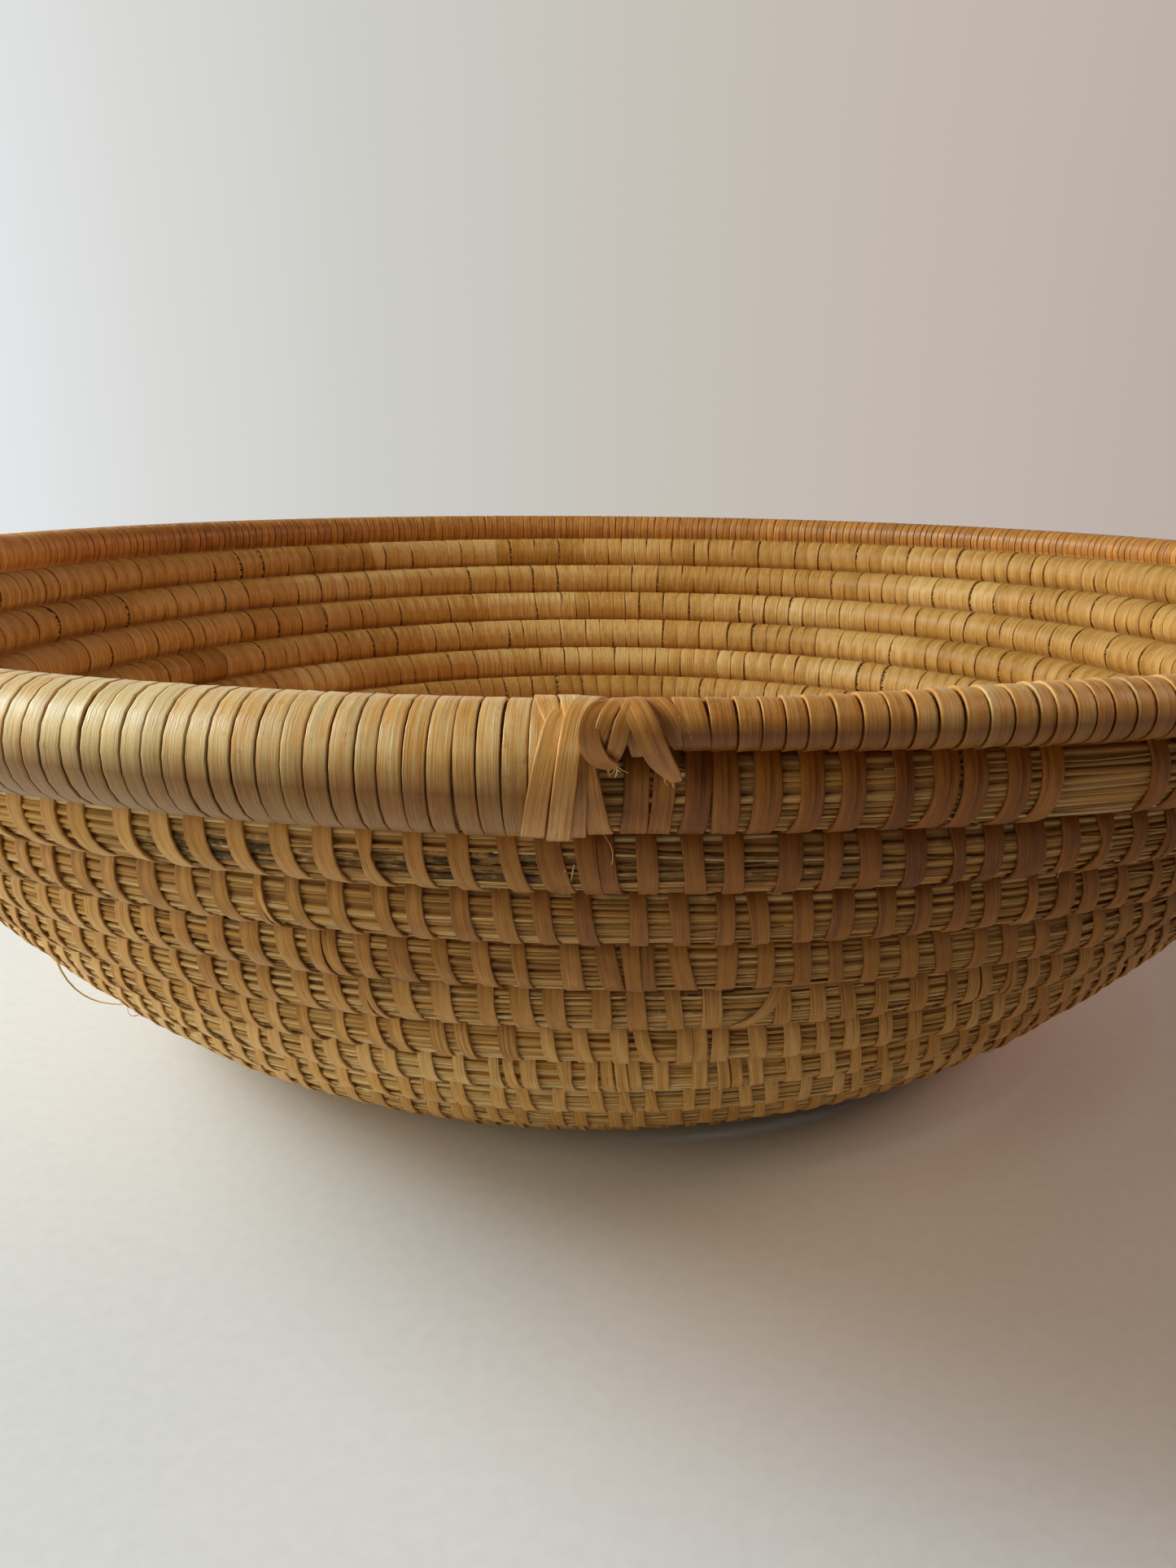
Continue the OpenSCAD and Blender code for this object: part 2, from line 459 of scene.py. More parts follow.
def stem_bundle(name, first, last, taper=None):
    """The bundle from one place to another; taper gives its size where it isn't full."""
    batch = Batch()
    steps = max(6, int((along(last) - along(first)) / STEM_STEP))
    u = np.linspace(first, last, steps + 1)
    s = along(u)
    phase = stem_phase.T[..., None]
    grow = np.ones_like(u) if taper is None else taper(u)
    # each stem sways a little by itself, and the whole bundle twists slowly
    sway = 0.045 * np.sin(s / 31.0 + phase[0]) + 0.03 * np.sin(s / 13.7 + phase[1])
    psi = stem_psi[:, None] + (sway + 0.25 * np.sin(s / 210.0))
    deep = 0.14 * np.sin(s / 23.0 + phase[2]) + 0.09 * np.sin(s / 9.1 + phase[3])
    radius = stem_size[:, None] * (1 + 0.10 * np.sin(s / 17.0 + 5 * phase[0]))
    rho = CORE_R - 0.05 - radius + deep
    centre, normal, side = tube_frame(np.broadcast_to(u, psi.shape), psi)
    points = centre + normal * (rho * grow)[..., None]
    # painted shade: darker in the creases between turns, and on the top rows towards the right
    shade = np.clip((np.abs(np.sin(psi)) - 0.85) / 0.15, 0, 1) * 0.3
    shade = np.clip(shade + STEM_PAINTED_SHADE * (painted_top_shade(u) * (np.cos(psi) > OUTSIDE)), 0, 1)
    # painted light: paler low down and on the left
    tone = np.broadcast_to(stem_tone[:, None], psi.shape) + 0.12 * np.sin(s / 47.0 + 3 * phase[1])
    tone = tone + 0.16 * painted_low_light(u)
    tone = tone + 0.30 * np.clip(np.sin(2 * math.pi * u), 0, 1) ** 0.6
    # weathered in the patches, and in spots here and there
    patch = sum(strength * np.exp(-((u - at) / spread) ** 2) for at, spread, strength in WEATHERED)
    patch = 1.5 * patch * np.exp(-((psi - 0.35) / 0.36) ** 2)
    beat = np.sin(s / 19.0 + 4 * phase[2]) * np.sin(s / 53.0 + 5 * phase[3])
    old = np.clip(patch + 0.6 * np.clip(beat * 3 - 2.1, 0, 1), 0, 1)
    tubes(batch, points, normal, np.cross(side, normal), radius * grow, tone,
          np.arange(STEMS) * 1.37, shade, old)
    # the heart, darkened with painted shade
    psi = np.arange(HEART_SIDES)[None, :] * 2 * math.pi / HEART_SIDES
    centre, normal, side = tube_frame(u[:, None], psi)
    verts = centre + normal * (HEART_R * grow[:, None])[..., None]
    strip = np.stack(np.broadcast_arrays(psi * 5, s[:, None], 0 * psi), axis=-1)
    look = np.stack(np.broadcast_arrays(0 * verts[..., 0] + 0.35, 0, 0.45), axis=-1)
    batch.add(verts, ring_quads(steps, HEART_SIDES), strip, look)
    return batch.object(name, stem_look)


# ---- stitches ----

# Distance from one stitch to the next, and where the first one is
STITCH_PITCH = 5.1
FIRST_STITCH = -0.3
count = int((along(TURNS) - along(FIRST_STITCH)) / STITCH_PITCH)
stitch_s = along(FIRST_STITCH) + STITCH_PITCH * (np.arange(count) + 0.5) + rng.normal(0, 0.38, count)
# Over this last stretch, under the thin end of the rim, the stitches are broader and stand
# closer, closest at the knot, and one place was never stitched. These lengths and the numbers
# in away are distances from the end of the last turn.
LOOSE_END = 105.0
UNSTITCHED = (52.5, 59.5)
away = [3.7, 6.6, 9.8, 13.1]
while away[-1] < LOOSE_END:
    away.append(away[-1] + float(rng.normal(4.3, 0.5)))
away = np.array([d for d in away if not UNSTITCHED[0] < d < UNSTITCHED[1]])
stitch_s = np.concatenate([stitch_s[stitch_s < along(TURNS) - LOOSE_END - 4], along(TURNS) - away[::-1]])
count = len(stitch_s)
stitch_u = at_length(stitch_s)
stitch_room = np.gradient(stitch_s)


def strip_runs(count, low, high):
    """One strip makes a run of stitches, so tone holds over a run and then jumps."""
    tones, seeds = np.empty(count), np.empty(count)
    i = 0
    while i < count:
        size = int(rng.integers(low, high))
        tones[i:i + size] = rng.normal(0, 0.12)
        seeds[i:i + size] = rng.uniform(0, 60)
        i += size
    return tones, seeds


stitch_run, stitch_seed = strip_runs(count, 3, 12)
PLAIN, SPLIT, DOUBLE, TWISTED = range(4)
stitch_kind = rng.choice(4, count, p=[0.86, 0.05, 0.03, 0.06])
# One stitch strays across its neighbours' line: where it is, and how near a stitch has to be
STRAY_AT = 12.98
STRAY_REACH = 0.0026
# Where the strands outside and inside start and end, in degrees round the coil, and their steps
OUTER_ARC = (-94, 94, 13)
INNER_ARC = (92, 268, 12)


# A strand is a row of: place, width, lean in degrees, where it is pinched in degrees round the
# coil, how much, tone, seed, and how far it stands off the bundle
def outer_strands(u, run, seed, kinds):
    """The strands seen outside."""
    rows = []
    for at, tone_run, own, kind in zip(u, run, seed, kinds):
        per_mm = 1 / (2 * math.pi * max(radius_at(at + PHASE), 10))
        # painted light: paler low down and on the left
        tone = 0.32 + 0.20 * float(painted_low_light(at)) + 0.7 * tone_run + rng.normal(0, 0.07)
        tone += 0.30 * max(0.0, math.sin(2 * math.pi * at)) ** 0.7
        lean = rng.normal(8.0, 3.0)
        width = float(np.clip(rng.normal(2.45, 0.26), 1.7, 3.1))
        if along(at) > along(TURNS) - LOOSE_END - 2:
            width = float(np.clip(rng.normal(2.75, 0.25), 2.2, 3.4))
            lean = rng.normal(0.0, 2.0)
            kind = PLAIN
        if abs(at - STRAY_AT) < STRAY_REACH:
            width, lean = 2.2, -36.0
            kind = PLAIN
            tone += 0.15
        if kind == SPLIT:    # two strands that part on the way down
            rows.append((at + 0.55 * per_mm, width * 0.46, lean - 4, 0, 0, tone, own, 0))
            rows.append((at - 0.65 * per_mm, width * 0.42, lean + 5, 0, 0, tone + 0.05, own + 1, 0.05))
        elif kind == DOUBLE:    # two strips side by side
            rows.append((at + 1.05 * per_mm, width * 0.9, lean, 0, 0, tone, own, 0.12))
            rows.append((at - 1.05 * per_mm, width * 0.9, lean + 1, 0, 0, tone - 0.06, own + 1, 0))
        elif kind == TWISTED:    # pinched where the strip turns over
            rows.append((at, width, lean, rng.uniform(-45, 45), rng.uniform(0.3, 0.6), tone, own, 0.1))
        else:
            rows.append((at, width, lean, 0, 0, tone, own, 0))
    return rows


def lay_strands(batch, rows, arc, base_rho=CORE_R):
    """Sweeps strands over the coil along an arc round it."""
    u, width, lean, at, pinch, tone, seed, lift = np.array(rows).T
    start, end, steps = arc
    count = len(rows)
    psi = np.linspace(math.radians(start), math.radians(end), steps)[None, :] * np.ones((count, 1))
    n = u + PHASE
    turn_r = radius_at(n)[:, None]
    shift = np.tan(np.radians(lean))[:, None] * WRAP_R * np.sin(psi)
    bow = rng.normal(0, 0.16, count)[:, None] * np.cos(psi) ** 2
    moved_u = u[:, None] + (shift + bow) / (2 * math.pi * np.maximum(turn_r, 9))
    # the strip follows its own turn, so the section is that of the stitch, not of the shifted place
    e = slope(n)[:, None]
    out = np.cos(psi) * np.sin(e) + np.sin(psi) * np.cos(e)
    up = -np.cos(psi) * np.cos(e) + np.sin(psi) * np.sin(e)
    centre = on_circle(moved_u, radius_at(moved_u + PHASE), height_at(moved_u + PHASE))
    normal = on_circle(moved_u, out, up)
    a = 2 * math.pi * moved_u
    side = np.stack([-np.cos(a), np.sin(a), 0 * a], axis=-1)
    slack = (lift + np.abs(rng.normal(0, 0.05, count)))[:, None] * np.abs(np.cos(psi))
    rho = base_rho + slack
    points = centre + normal * rho[..., None]
    # it narrows at a twist and, inside the bowl, as its turn is shorter there
    narrow = 1 - pinch[:, None] * np.exp(-((np.degrees(psi) - at[:, None]) / 20) ** 2)
    room = np.minimum((turn_r + rho * out) / np.maximum(turn_r, 1), 1.0)
    edge = 1 + 0.05 * np.sin(psi * 3 + rng.uniform(0, 6, count)[:, None])
    half = width[:, None] / 2 * narrow * edge * room
    thick = STRIP * (1 + 0.6 * (1 - narrow))
    # painted shade: darker in the creases between turns, and on the top rows towards the right
    shade = np.clip((np.abs(np.sin(psi)) - 0.80) / 0.2, 0, 1) * 0.35
    shade = np.clip(shade + STITCH_PAINTED_SHADE * (painted_top_shade(u)[:, None] * (np.cos(psi) > OUTSIDE)), 0, 1)
    sweep(batch, points, normal, side, half, thick, tone, seed, shade, rng.normal(0, 0.05, count))


def inner_strands(u, run, seed, room):
    """The strands seen inside, which close up side by side."""
    rows = []
    for at, tone_run, own, space in zip(u, run, seed, room):
        # painted light: paler on the far side of the inside
        tone = 0.49 + 0.9 * tone_run - 0.06 * math.cos(2 * math.pi * at) + rng.normal(0, 0.05)
        width = space + float(rng.normal(0.03, 0.04))
        rows.append((at, width, rng.normal(-3, 2), 0, 0, tone, own + 30, abs(rng.normal(0, 0.06))))
    return rows


for turn in range(1, TURNS + 1):
    base = turn <= BASE_COUNT
    group, number = ("base", turn) if base else ("wall", turn - BASE_COUNT)
    stems = stem_bundle(f"stems_turn_{turn:02d}", turn - 1, turn)
    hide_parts(f"{group}_coil_{number}")
    pick = (stitch_u >= turn - 1) & (stitch_u < turn)
    here, tones, seeds = stitch_u[pick], stitch_run[pick], stitch_seed[pick]
    batch = Batch()
    lay_strands(batch, outer_strands(here, tones, seeds, stitch_kind[pick]), OUTER_ARC)
    lay_strands(batch, inner_strands(here, tones, seeds, stitch_room[pick]), INNER_ARC)
    stitching = batch.object(f"stitching_turn_{turn:02d}", stitch_look)
    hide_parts(f"{group}_stitching_{number}")


def eye_taper(u):
    """The curled start of the bundle grows from less than half its size in the spiral's eye."""
    return 0.45 + 0.55 * np.clip((u + EYE) / EYE, 0, 1)


EYE_WRAPS = 12
batch = Batch()
eye_rows = [(at, 2.6, 4, 0, 0, 0.45 + rng.normal(0, 0.06), rng.uniform(0, 60), 0)
            for at in np.linspace(0.05 - EYE, -0.02, EYE_WRAPS)]
lay_strands(batch, eye_rows, (-180, 180, 24), CORE_R * 0.86)
eye = batch.object("start_button_wrap", stitch_look)
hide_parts("start_button")
stem_bundle("start_button_stems", 0.02 - EYE, 0, eye_taper)

# ---- rim ----


def rim_radius(t):
    """It tapers evenly, then a little faster where the lashing pulls it down at the knot."""
    pinch = np.clip((np.asarray(t) - 0.955) / 0.035, 0, 1)
    return (RIM_START_D + (RIM_END_D - RIM_START_D) * t) / 2 - 0.6 * pinch * pinch * (3 - 2 * pinch)


# Painted shade darkens the outer face of the rim below its top: how much, at these heights on the
# section as shares of its radius, for the wraps and for the newer strips of the knot
RIM_SHADE_HEIGHTS = [-0.6, -0.17, 0.0, 0.19, 0.36, 0.52]
WRAP_PAINTED_SHADE = [0.9, 1.0, 0.86, 0.48, 0.13, 0.0]
LASH_PAINTED_SHADE = [0.54, 0.6, 0.522, 0.39, 0.216, 0.0]


def painted_rim_shade(a, amounts):
    return np.interp(np.sin(a), RIM_SHADE_HEIGHTS, amounts)


def rim_n(t):
    """Where the rim's middle line is, in turns from the centre."""
    return RIM_FOOT + t + (rim_radius(t) + TURN_GAP / 2) / PITCH


def rim_frame(t, a):
    """Centre, normal and sideways direction on the rim; angle a is 0 outwards and 90 degrees up."""
    n = rim_n(t)
    centre = on_circle(t, radius_at(n), height_at(n))
    normal = on_circle(t, np.cos(a), np.sin(a))
    az = 2 * math.pi * t
    side = np.stack(np.broadcast_arrays(-np.cos(az), np.sin(az), 0 * az), axis=-1)
    return centre, normal, np.broadcast_to(side, normal.shape)


# Length of the rim, which is 186 mm from the basket's axis on average
RIM_LENGTH = 2 * math.pi * 186.0
# The core has a ridge for each stem of its surface
CORE_STEPS = 180
CORE_SIDES = 24
RIDGE = 0.12
batch = Batch()
t = np.linspace(0, 1, CORE_STEPS + 1)
a = np.arange(CORE_SIDES) * 2 * math.pi / CORE_SIDES
centre, normal, side = rim_frame(t[:, None], a[None, :])
ridge = RIDGE * np.cos(CORE_SIDES / 2 * a)[None, :]
verts = centre + normal * (rim_radius(t)[:, None] - STRIP - RIDGE + ridge)[..., None]
strip = np.stack(np.broadcast_arrays(a[None, :] * 5, t[:, None] * RIM_LENGTH, 0 * a[None, :]), axis=-1)
# the core, which shows in the gaps between wraps, is darkened with painted shade
look = np.stack(np.broadcast_arrays(0 * verts[..., 0] + 0.25, 0, 0.5), axis=-1)
low = np.arange(CORE_SIDES // 2 - 1)
high = CORE_SIDES - 1 - low
cap = np.stack([low, high, high - 1, low + 1], axis=-1)
quads = ring_quads(CORE_STEPS, CORE_SIDES).reshape(-1, 4)
quads = np.concatenate([quads, cap, cap[:, ::-1] + CORE_STEPS * CORE_SIDES])
batch.add(verts, quads, strip, look)
rim_core = batch.object("rim_core", stem_look)
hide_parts("rim_coil")

# The wraps leave room for the knot at both ends, and they are uneven from here to the thin end
FIRST_WRAP = 2.4
LAST_WRAP = RIM_LENGTH - 9.3
UNEVEN_FROM = 0.86
WRAP_STEPS = 21
widths, places = [], []
s = FIRST_WRAP
while s < LAST_WRAP:
    spread = 0.17 if s < UNEVEN_FROM * RIM_LENGTH else 0.30
    width = float(np.clip(rng.normal(2.52, spread), 1.9, 3.1))
    gap = float(np.clip(rng.normal(0.06, 0.05), 0.01, 0.22))
    places.append(s + width / 2)
    widths.append(width)
    s += width + gap
places, widths = np.array(places), np.array(widths)
wraps = len(places)
rim_run, rim_seed = strip_runs(wraps, 5, 18)
a = np.linspace(-math.pi * 0.75, math.pi * 1.25, WRAP_STEPS)[None, :] * np.ones((wraps, 1))
t0 = places / RIM_LENGTH
uneven = t0 > UNEVEN_FROM
# the last wraps before the knot lean over
lean = np.radians(rng.normal(1.5, 0.8, wraps) + 16 * np.exp(-(RIM_LENGTH - places - 8) / 3.5))
leaning_t = t0[:, None] + np.tan(lean)[:, None] * rim_radius(t0)[:, None] * np.sin(a) / RIM_LENGTH
centre, normal, side = rim_frame(leaning_t, a)
inner_r = rim_radius(t0)[:, None] - STRIP
slack = (np.abs(rng.normal(0, 0.05, wraps)) * uneven)[:, None]
points = centre + normal * (inner_r * np.ones_like(a) + slack)[..., None]
middle_r = radius_at(rim_n(t0)[:, None])
half = widths[:, None] / 2 * (middle_r + inner_r * np.cos(a)) / (middle_r + inner_r)
# Places round the rim and their tones, partly the rim's own colour and partly painted light: palest to
# the left of the knot, browner at the back and just right of the knot, and a painted highlight a little
# further right
TONE_AT = [0, 0.02, 0.05, 0.12, 0.25, 0.36, 0.64, 0.75, 0.88, 0.945, 0.966, 0.984, 1.0]
RIM_TONES_AND_PAINTED_LIGHT = [0.78, 0.90, 1.00, 1.00, 0.66, 0.13, 0.16, 0.30, 0.46, 0.54, 0.70, 0.44, 0.26]
rim_tone_and_light = np.interp(t0, TONE_AT, RIM_TONES_AND_PAINTED_LIGHT) + 0.25 * rim_run + rng.normal(0, 0.035, wraps)
wrap_seed = rim_seed + np.arange(wraps) * 0.37
wrap_roll = rng.normal(0, 0.04, wraps) + 0.10 * uneven
batch = Batch()
# the shade is painted shade, darker below the rim's top
sweep(batch, points, normal, side, half, STRIP * np.ones_like(a), rim_tone_and_light, wrap_seed,
      painted_rim_shade(a, WRAP_PAINTED_SHADE) * (np.cos(a) > 0), wrap_roll)
rim_wraps = batch.object("rim_wraps", rim_look)
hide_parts("rim_wrapping")

# ---- knot ----


def smooth(values, steps):
    """Catmull-Rom through control values, one row per control point."""
    v = np.asarray(values, float)
    padded = np.vstack([2 * v[0] - v[1], v, 2 * v[-1] - v[-2]])
    w = np.linspace(0, len(v) - 1, steps)
    i = np.minimum(w.astype(int), len(v) - 2)
    f = (w - i)[:, None]
    p0, p1, p2, p3 = padded[i], padded[i + 1], padded[i + 2], padded[i + 3]
    return 0.5 * (2 * p1 + (p2 - p0) * f + (2 * p0 - 5 * p1 + 4 * p2 - p3) * f ** 2
                  + (3 * p1 - p0 - 3 * p2 + p3) * f ** 3)


def rim_end(t, x, ang):
    """Centre and outward normal on an end of the rim, t 0 or 1, at x from the knot's middle."""
    n = rim_n(t)
    az = -np.arcsin(x / radius_at(n)) / (2 * math.pi)
    centre = on_circle(az, radius_at(n) * np.ones_like(az), height_at(n) * np.ones_like(az))
    return centre, on_circle(az, np.cos(ang), np.sin(ang))


def lash(name, control, tone, node=None, thick_tube=True, steps=40):
    """A strip over the rim at the knot. control rows are x, angle round the tube in degrees
    (0 front, 90 top), distance from the tube's centre and width, all in millimetres."""
    x, ang, rho, width = smooth(control, steps).T
    ang = np.radians(ang)
    centre, normal = rim_end(0.0 if thick_tube else 1.0, x, ang)
    points = centre + normal * rho[:, None]
    tangent = np.gradient(points, axis=0)
    tangent /= np.linalg.norm(tangent, axis=1)[:, None]
    side = np.cross(tangent, normal)
    side /= np.linalg.norm(side, axis=1)[:, None]
    seed = rng.uniform(0, 60)
    batch = Batch()
    # painted shade darkens the strip below the rim's top
    sweep(batch, points[None], normal[None], side[None], width[None] / 2, STRIP * np.ones((1, steps)),
          np.array([tone]), np.array([seed]), painted_rim_shade(ang, LASH_PAINTED_SHADE)[None], np.array([0.0]))
    piece = batch.object(name, rim_look)
    if node:
        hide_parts(node)


# Inner radius of a strip on the thick and on the thin end of the rim
R1 = RIM_START_D / 2 - STRIP
R2 = float(rim_radius(1.0)) - STRIP
# over the thick end: the two long lashes that fan down to the left, and what lies beside them
lash("knot_long_lash_left_strip",
     [(-1.9, 130, R1 - 0.1, 2.1), (-2.4, 95, R1 + 0.1, 2.2), (-3.5, 70, R1 + 0.3, 2.1),
      (-4.5, 53, R1 + 0.5, 2.1), (-5.2, 28, R1 + 0.6, 2.2), (-5.75, 6, R1 + 0.6, 2.3),
      (-6.3, -20, R1 + 0.5, 2.45), (-6.95, -58, R1 + 0.2, 2.6)],
     0.60, "knot_long_lash_left")
lash("knot_long_lash_middle_strip",
     [(0.6, 140, R1 - 0.3, 2.1), (-0.3, 105, R1 + 0.1, 2.3), (-1.2, 82, R1 + 0.6, 2.5),
      (-2.4, 55, R1 + 1.0, 2.5), (-3.0, 30, R1 + 1.1, 2.4), (-3.4, 6, R1 + 1.05, 2.4),
      (-3.8, -20, R1 + 0.9, 2.45), (-4.3, -59, R1 + 0.5, 2.5)],
     0.62, "knot_long_lash_middle")
lash("knot_narrow_lash_strip",
     [(-1.6, 45, R1 + 0.15, 1.0), (-1.9, 15, R1 + 0.35, 1.3), (-2.05, -20, R1 + 0.4, 1.5),
      (-2.2, -57, R1 + 0.15, 1.7)],
     0.50)
lash("knot_short_lash_right_strip",
     [(-1.8, 42, R1 - 0.1, 1.3), (-1.2, 15, R1 + 0.15, 1.6), (-0.6, -15, R1 + 0.1, 2.2),
      (0.15, -56, R1 - 0.2, 2.75)],
     0.40, "knot_short_lash_right")
lash("knot_folded_strip_left",
     [(-6.5, 130, R1 + 0.2, 2.2), (-5.9, 95, R1 + 0.35, 2.25), (-5.3, 70, R1 + 0.4, 2.2),
      (-4.8, 55, R1 + 0.35, 1.8), (-4.5, 48, R1 + 0.3, 1.2)],
     0.72)
lash("knot_folded_strip_right",
     [(-4.0, 130, R1 + 0.2, 2.3), (-3.4, 98, R1 + 0.4, 2.4), (-3.0, 75, R1 + 0.6, 2.3),
      (-2.8, 55, R1 + 0.8, 1.8)],
     0.78)
# over the thin end: a strip looped to the left, two that cross it, and the broad tail over them
lash("knot_cross_strip_lower_strip",
     [(2.6, 145, R2 - 0.5, 1.7), (1.9, 95, R2 - 0.35, 1.7), (0.8, 62, R2 - 0.05, 1.8),
      (-0.4, 38, R2 + 0.5, 2.0), (-1.15, 8, R2 + 1.0, 2.2), (-1.0, -22, R2 + 1.45, 2.4),
      (-0.1, -42, R2 + 2.0, 2.4), (1.3, -53, R2 + 2.3, 1.9)],
     0.30, "knot_cross_strip_lower", thick_tube=False)
lash("knot_cross_strip_upper_strip",
     [(2.8, 140, R2 - 0.5, 1.5), (2.0, 90, R2 - 0.2, 1.5), (1.2, 50, R2 + 0.4, 1.5),
      (0.55, 25, R2 + 0.8, 1.5), (0.0, -2, R2 + 1.05, 1.5), (-0.5, -30, R2 + 1.0, 1.5)],
     0.45, "knot_cross_strip_upper", thick_tube=False)
lash("knot_cross_strip_middle",
     [(4.1, 140, R2 - 0.5, 1.7), (3.6, 88, R2 - 0.15, 1.8), (2.9, 42, R2 + 0.55, 1.8),
      (2.1, 10, R2 + 1.05, 1.8), (1.5, -25, R2 + 1.4, 1.8), (0.9, -50, R2 + 1.6, 1.8)],
     0.36, thick_tube=False)
lash("knot_under_strip",
     [(2.8, 50, R2 + 0.2, 1.6), (3.2, 0, R2 + 0.5, 1.7), (3.9, -57, R2 + 0.9, 1.7)],
     0.30, thick_tube=False)
lash("knot_tail_strip_strip",
     [(1.6, 145, R2 - 0.4, 2.6), (2.3, 100, R2 - 0.05, 2.7), (3.0, 64, R2 + 0.25, 2.8),
      (3.55, 34, R2 + 0.8, 2.85), (4.3, 6, R2 + 1.4, 2.85), (5.1, -20, R2 + 1.8, 2.8),
      (6.0, -41, R2 + 2.3, 2.7), (6.9, -53, R2 + 2.9, 2.3), (7.6, -60, R2 + 3.5, 1.5)],
     0.30, "knot_tail_strip", thick_tube=False)
lash("knot_leaning_wrap",
     [(3.6, 175, R2, 2.4), (4.2, 135, R2, 2.4), (5.1, 90, R2, 2.5),
      (6.2, 45, R2, 2.5), (7.2, 5, R2, 2.5), (8.1, -35, R2, 2.5),
      (8.7, -75, R2, 2.4), (9.0, -110, R2, 2.4)],
     0.30, thick_tube=False)

# ---- loose fibres ----


HAIR_STEPS = 9
# A direction that no hair lies along, and a length that no division is upset by
AWAY = [0.3, 0.2, 0.93]
TINY = 1e-9


def fibres(name, starts, ends, bends, radius, tones):
    """Thin curved hairs from start to end; bend is how far the middle is pushed, as a vector."""
    starts, ends, bends = (np.asarray(v, float) for v in (starts, ends, bends))
    w = np.linspace(0, 1, HAIR_STEPS)[None, :, None]
    points = starts[:, None] * (1 - w) + ends[:, None] * w + 4 * w * (1 - w) * bends[:, None]
    tangent = np.gradient(points, axis=1)
    tangent /= np.linalg.norm(tangent, axis=2)[..., None] + TINY
    normal = np.cross(tangent, AWAY)
    normal /= np.linalg.norm(normal, axis=2)[..., None] + TINY
    taper = np.linspace(1.0, 0.5, HAIR_STEPS)[None, :]
    every = np.ones((len(starts), HAIR_STEPS))
    batch = Batch()
    tubes(batch, points, normal, np.cross(tangent, normal), np.asarray(radius)[:, None] * taper,
          np.asarray(tones)[:, None] * every, np.arange(len(starts)) * 0.7, 0 * every, sides=5)
    return batch.object(name, stem_look)


def loose_stems(name, first, last, count):
    """Short broken stems that lie askew on the bundle, under the stitches."""
    at = rng.uniform(along(first), along(last), count)[:, None]
    w = np.linspace(-0.5, 0.5, 12)[None, :]
    u = at_length(at + w * rng.uniform(12, 55, count)[:, None])
    psi = rng.uniform(-1.4, 1.25, count)[:, None] + w * rng.normal(0, 0.22, count)[:, None]
    psi = psi + 0.03 * np.sin(w * 9 + rng.uniform(0, 6, count)[:, None])
    thin = rng.uniform(0.13, 0.30, count)[:, None] * np.ones_like(w)
    centre, normal, side = tube_frame(u, psi)
    points = centre + normal * (CORE_R + 0.10 - thin + 0.10 * np.cos(w * math.pi))[..., None]
    tone = rng.uniform(0.15, 1.05, count)[:, None] * np.ones_like(w)
    weathered = np.clip(rng.normal(-0.2, 0.5, count), 0, 1)[:, None] * np.ones_like(w)
    batch = Batch()
    # painted shade on the top rows, as on the bundle
    tubes(batch, points, normal, np.cross(side, normal), thin, tone, rng.uniform(0, 90, count),
          STEM_PAINTED_SHADE * painted_top_shade(u), weathered, sides=5)
    return batch.object(name, stem_look)


loose_stems("loose_stems_upper", 12.0, 16.98, 620)
loose_stems("loose_stems_lower", 7.0, 12.0, 380)


def on_body(u, angle, rho):
    """Points on the body coil, at angles in degrees from its outer face."""
    centre, normal, side = tube_frame(np.asarray(u, float), np.radians(angle))
    return centre + normal * np.asarray(rho)[..., None]


def on_thin_rim(x, angle, rho):
    """Points on the thin end of the rim, at angles in degrees from its front."""
    centre, normal = rim_end(1.0, x, np.radians(angle))
    return centre + normal * rho[..., None]


# Hairs all over the outside
HAIRS = 220
hair_u = at_length(rng.uniform(along(8.0), along(16.98), HAIRS))
hair_angle = rng.uniform(-75, 65, HAIRS)
reach = rng.uniform(1.2, 5.5, HAIRS)
turn_length = 2 * math.pi * radius_at(hair_u + PHASE)
way = rng.uniform(-1, 1, HAIRS)
start = on_body(hair_u, hair_angle, CORE_R + 0.25 + 0 * hair_u)
end = on_body(hair_u + way * reach / turn_length, hair_angle + rng.normal(0, 30, HAIRS),
              WRAP_R + rng.uniform(0.1, 1.1, HAIRS))
bend = rng.normal(0, 0.7, (HAIRS, 3))
fibres("loose_fibres", start, end, bend, rng.uniform(0.04, 0.10, HAIRS), rng.uniform(0.5, 1.0, HAIRS))

# Frayed ends of the tail and of the looped strip, half of them on each
FRAYS = 32
each = FRAYS // 2
fray_x = np.concatenate([rng.uniform(6.4, 8.0, each), rng.uniform(0.0, 1.8, each)])
fray_angle = np.concatenate([rng.uniform(-68, -58, each), rng.uniform(-60, -50, each)])
fray_r = R2 + np.concatenate([rng.uniform(2.4, 3.3, each), rng.uniform(1.7, 2.3, each)])
start = on_thin_rim(fray_x, fray_angle, fray_r)
end = on_thin_rim(fray_x + rng.normal(0.3, 0.6, FRAYS), fray_angle - rng.uniform(3, 16, FRAYS),
                  fray_r + rng.uniform(-0.2, 1.3, FRAYS))
fibres("frayed_ends", start, end, rng.normal(0, 0.16, (FRAYS, 3)), rng.uniform(0.05, 0.13, FRAYS),
       rng.uniform(0.8, 1.1, FRAYS))

# Two pale fibres split from the stems just left of the knot
start = on_body([16.0031, 16.0036], [-34, -30], [WRAP_R, WRAP_R])
end = on_body([16.0024, 16.0033], [30, 24], [WRAP_R, WRAP_R])
fibres("split_fibre", start, end, [[0, -0.7, 0.2], [0, -0.4, 0]], [0.14, 0.10], [1.1, 0.9])

# One loose fibre loops out below the front left of the bowl
start = on_body([11.130], [2], [WRAP_R])
end = on_body([10.120], [8], [WRAP_R])
fibres("loose_loop", start, end, [[-1.8, 0, -2.5]], [0.22], [1.4])

# ---- floor, light and camera ----


